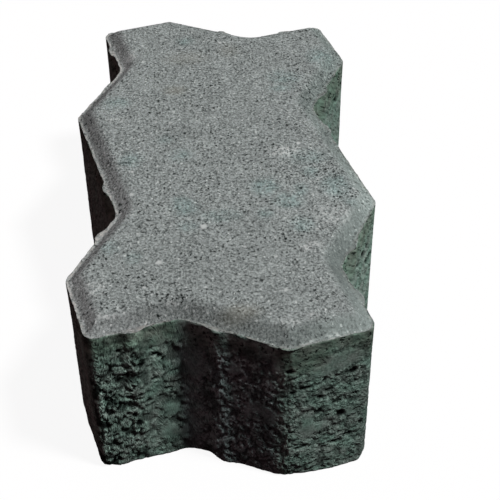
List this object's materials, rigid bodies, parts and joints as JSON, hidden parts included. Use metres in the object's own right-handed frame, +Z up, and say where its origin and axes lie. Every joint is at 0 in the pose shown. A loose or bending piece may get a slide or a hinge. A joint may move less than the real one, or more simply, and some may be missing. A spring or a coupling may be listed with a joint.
{
  "type": "paving stone",
  "caption": "Interlocking concrete paving stone with zigzag sides, a bevelled wearing face and upright spacer nibs.",
  "frame": {"origin": "centre of the underside, which lies on the bedding sand", "axes": "+Y along the stone's long side, +Z up through the wearing face, +X across it to the right when looking along +Y"},
  "size_m": [0.1282, 0.2406, 0.08],
  "materials": {
    "concrete": "matte"
  },
  "bodies": {
    "root": {"paving_stone": "concrete"}
  },
  "joints": []
}
